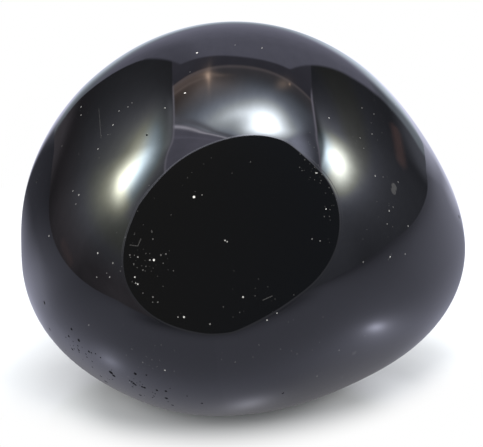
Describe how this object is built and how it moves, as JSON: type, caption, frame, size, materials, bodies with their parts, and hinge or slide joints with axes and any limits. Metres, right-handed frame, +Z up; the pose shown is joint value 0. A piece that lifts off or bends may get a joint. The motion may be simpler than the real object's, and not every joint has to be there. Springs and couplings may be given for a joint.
{
  "type": "tumbled black onyx stone",
  "caption": "Polished black onyx pebble: a rounded, lopsided tumbled stone with a small flat underneath that it rests on.",
  "frame": {"origin": "on the resting surface, under the middle of the stone's box", "axes": "+Z up from the surface it rests on, +X to the stone's right along its length, -Y towards the front, the side with the large smooth polished face"},
  "size_m": [0.0422, 0.0368, 0.0342],
  "materials": {
    "onyx": "tumble-polished, glossy, near black"
  },
  "bodies": {
    "root": {"stone": "onyx"}
  },
  "joints": []
}
